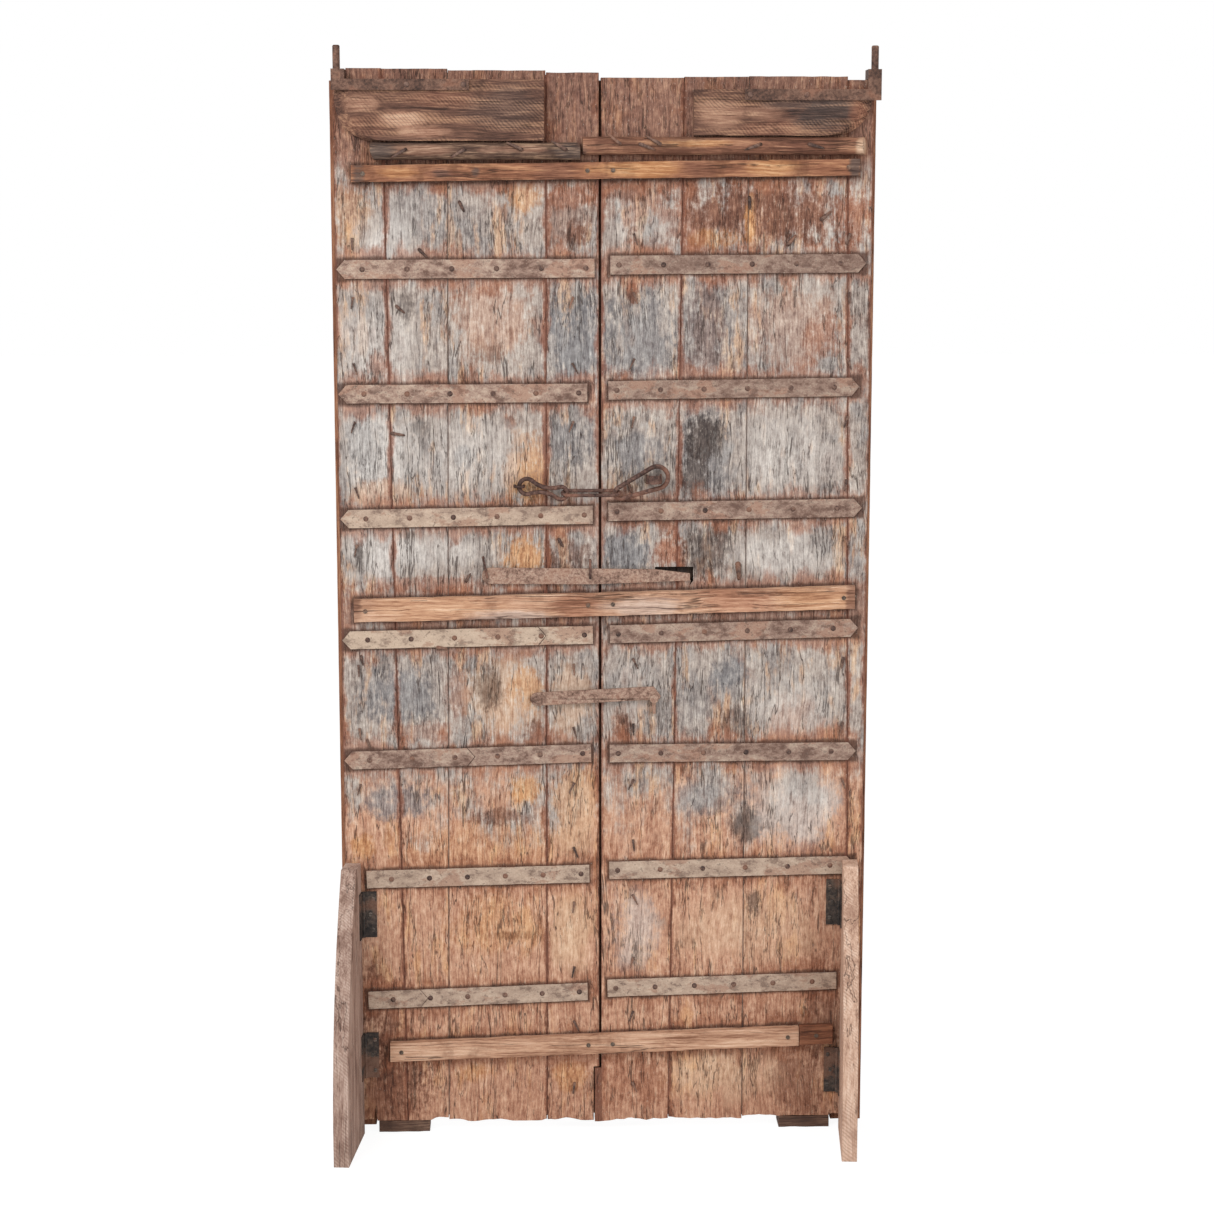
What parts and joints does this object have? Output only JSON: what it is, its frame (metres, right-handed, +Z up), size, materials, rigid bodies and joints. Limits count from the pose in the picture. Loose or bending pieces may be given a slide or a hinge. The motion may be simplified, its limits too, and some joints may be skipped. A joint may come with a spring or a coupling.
{
  "type": "double-leaf plank door",
  "caption": "Old double-leaf plank door, its leaves battened together, with iron straps, a chain hasp, latch bars, top pivot pins and hinged stand boards behind",
  "frame": {"origin": "on the floor, under the middle of the door's width and depth", "axes": "+X to the right when looking at the braced rear side, +Y from that rear side to the front, +Z up"},
  "size_m": [1.1325, 0.2684, 2.3],
  "materials": {
    "plank_wood": "worn paint over bare weathered wood",
    "stile_wood": "old oiled wood",
    "cleat_wood": "rough sawn dark wood",
    "pole_wood": "bare weathered wood",
    "batten_wood": "sawn softwood lath",
    "stand_wood": "worn board",
    "strap_iron": "rusted with paint traces",
    "pivot_iron": "dark rusted",
    "hinge_metal": "black, stained",
    "pin_steel": "plain",
    "forged_iron": "forged, rusted",
    "nail_iron": "rusted"
  },
  "bodies": {
    "door": {"left_plank_outer": "plank_wood", "left_plank_second": "plank_wood", "left_plank_third": "plank_wood", "left_plank_meeting": "plank_wood", "right_plank_meeting": "plank_wood", "right_plank_second": "plank_wood", "right_plank_third": "plank_wood", "right_plank_outer": "plank_wood", "left_outer_stile": "stile_wood", "left_meeting_stile": "stile_wood", "right_meeting_stile": "stile_wood", "right_outer_stile": "stile_wood", "cover_strip": "stile_wood", "left_top_cleat": "cleat_wood", "right_top_cleat": "cleat_wood", "batten_block": "cleat_wood", "left_foot_block": "cleat_wood", "right_foot_block": "cleat_wood", "left_top_bar": "pole_wood", "right_top_bar": "pole_wood", "top_batten": "batten_wood", "middle_batten": "batten_wood", "bottom_batten": "batten_wood", "left_strap_1": "strap_iron", "left_strap_2": "strap_iron", "left_strap_3": "strap_iron", "left_strap_4": "strap_iron", "left_strap_5": "strap_iron", "left_strap_6": "strap_iron", "left_strap_7": "strap_iron", "right_strap_1": "strap_iron", "right_strap_2": "strap_iron", "right_strap_3": "strap_iron", "right_strap_4": "strap_iron", "right_strap_5": "strap_iron", "right_strap_6": "strap_iron", "right_strap_7": "strap_iron", "left_pivot_iron": "pivot_iron", "right_pivot_iron": "pivot_iron", "left_hinge_door_leaves": "hinge_metal", "right_hinge_door_leaves": "hinge_metal", "hinge_pins": "pin_steel", "batten_screws": "pin_steel", "chain_staple": "forged_iron", "hasp_staple": "forged_iron", "upper_latch_staple": "forged_iron", "upper_latch_hook": "forged_iron", "lower_latch_rivet": "forged_iron", "lower_latch_catch": "forged_iron", "strap_nails": "nail_iron", "stile_nails": "nail_iron"},
    "left_stand": {"left_stand": "stand_wood", "left_hinge_stand_leaves": "hinge_metal"},
    "right_stand": {"right_stand": "stand_wood", "right_hinge_stand_leaves": "hinge_metal"},
    "chain_eye": {"chain_eye_link": "forged_iron"},
    "chain_long": {"chain_long_link": "forged_iron"},
    "chain_ring": {"chain_ring": "forged_iron"},
    "upper_latch": {"upper_latch_bar": "forged_iron"},
    "lower_latch": {"lower_latch_bar": "forged_iron"}
  },
  "joints": [
    {"name": "left_stand_fold", "type": "hinge", "parent": "door", "child": "left_stand", "pos_m": [-0.513, 0.06961, 0.331], "axis": [0, 0, 1], "range_deg": [0, 60]},
    {"name": "right_stand_fold", "type": "hinge", "parent": "door", "child": "right_stand", "pos_m": [0.503, 0.06961, 0.318], "axis": [0, 0, -1], "range_deg": [-5, 15]},
    {"name": "chain_eye_swing", "type": "hinge", "parent": "door", "child": "chain_eye", "pos_m": [-0.177, 0.05721, 1.403], "axis": [0, 0, -1], "range_deg": [0, 30]},
    {"name": "chain_long_swing", "type": "hinge", "parent": "chain_eye", "child": "chain_long", "pos_m": [-0.07798, 0.05721, 1.38901], "axis": [0, 0, -1], "range_deg": [0, 30]},
    {"name": "chain_ring_swing", "type": "hinge", "parent": "chain_long", "child": "chain_ring", "pos_m": [0.02152, 0.05721, 1.38901], "axis": [0, 0, -1], "range_deg": [0, 30]},
    {"name": "upper_latch_lift", "type": "hinge", "parent": "door", "child": "upper_latch", "pos_m": [-0.245, 0.06921, 1.212], "axis": [0, -1, 0], "range_deg": [0, 2.5]},
    {"name": "lower_latch_lift", "type": "hinge", "parent": "door", "child": "lower_latch", "pos_m": [-0.14, 0.06521, 0.953], "axis": [0, -1, 0], "range_deg": [0, 30]}
  ]
}
